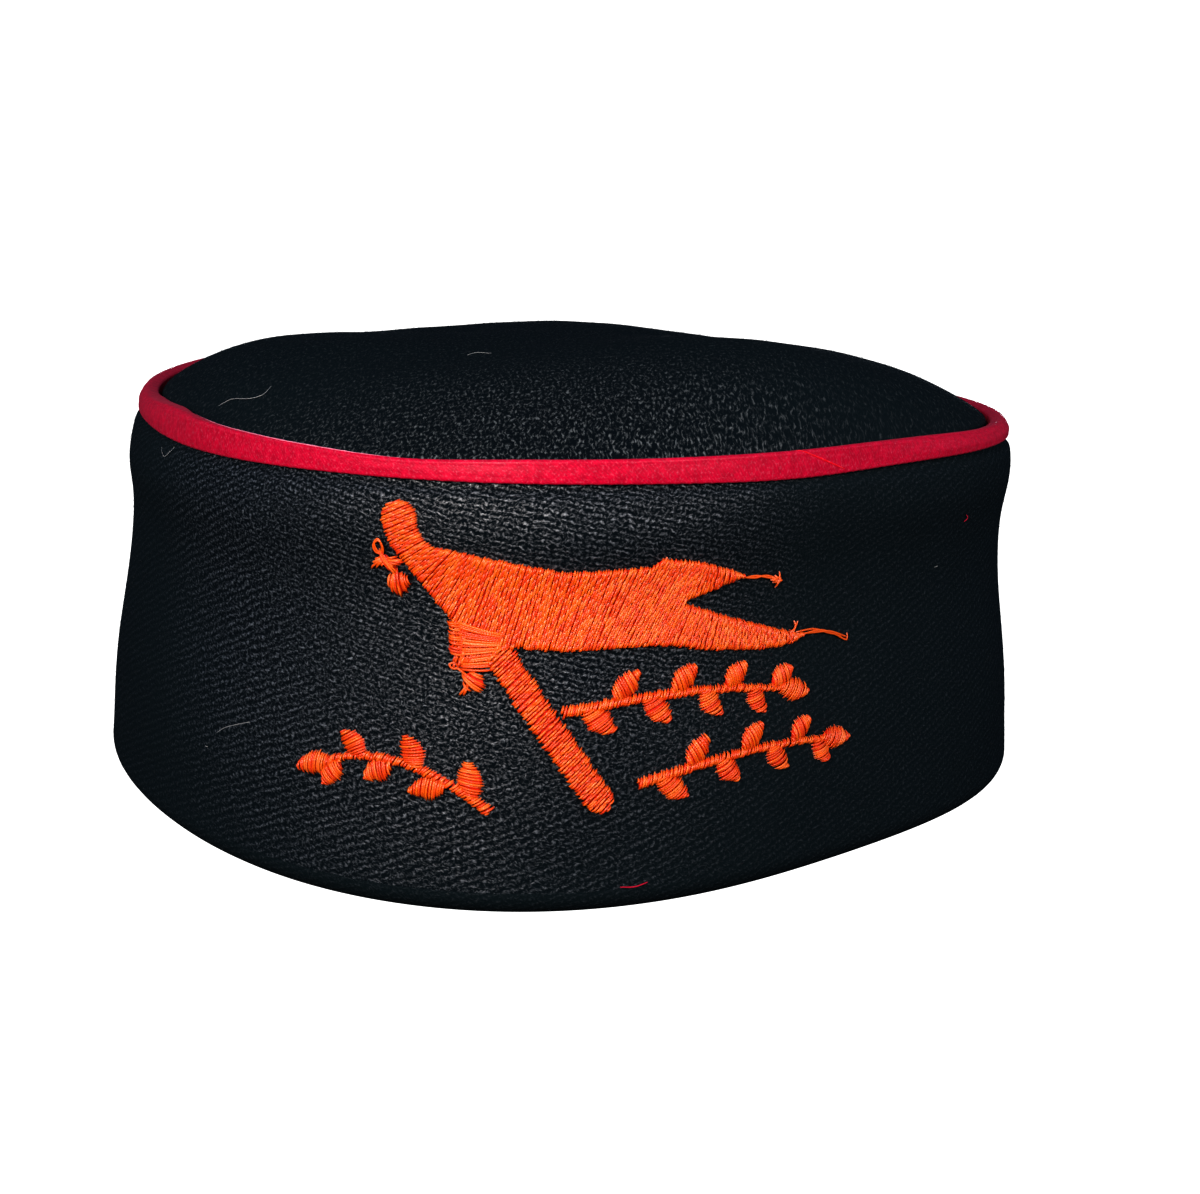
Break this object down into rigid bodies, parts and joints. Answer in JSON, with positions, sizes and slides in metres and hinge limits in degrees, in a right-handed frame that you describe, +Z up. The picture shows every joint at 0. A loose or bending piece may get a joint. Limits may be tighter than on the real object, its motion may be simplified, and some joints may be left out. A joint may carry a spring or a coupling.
{
  "type": "himachali cap",
  "caption": "Round woollen cap with a soft domed crown, a tall turned-up band bound in satin along its edge, and raised embroidery on the band's front.",
  "frame": {"origin": "middle of the cap in plan, on the surface that it stands on", "axes": "+Z up through the crown, the embroidered front of the band towards -Y, the cap's left side as it is worn towards +X"},
  "size_m": [0.1994, 0.214, 0.0935],
  "materials": {
    "wool_cloth": "black coarse woollen cloth, brushed and matt",
    "satin_binding": "crimson satin bias strip, soft sheen",
    "embroidery_thread": "orange machine embroidery, raised satin stitches"
  },
  "bodies": {
    "root": {"crown_top": "wool_cloth", "crown_wall": "wool_cloth", "band": "wool_cloth", "band_binding": "satin_binding", "pennant": "embroidery_thread", "staff": "embroidery_thread", "upper_tassel": "embroidery_thread", "lower_tassel": "embroidery_thread", "left_sprig": "embroidery_thread", "upper_vine": "embroidery_thread", "lower_vine": "embroidery_thread"}
  },
  "joints": []
}
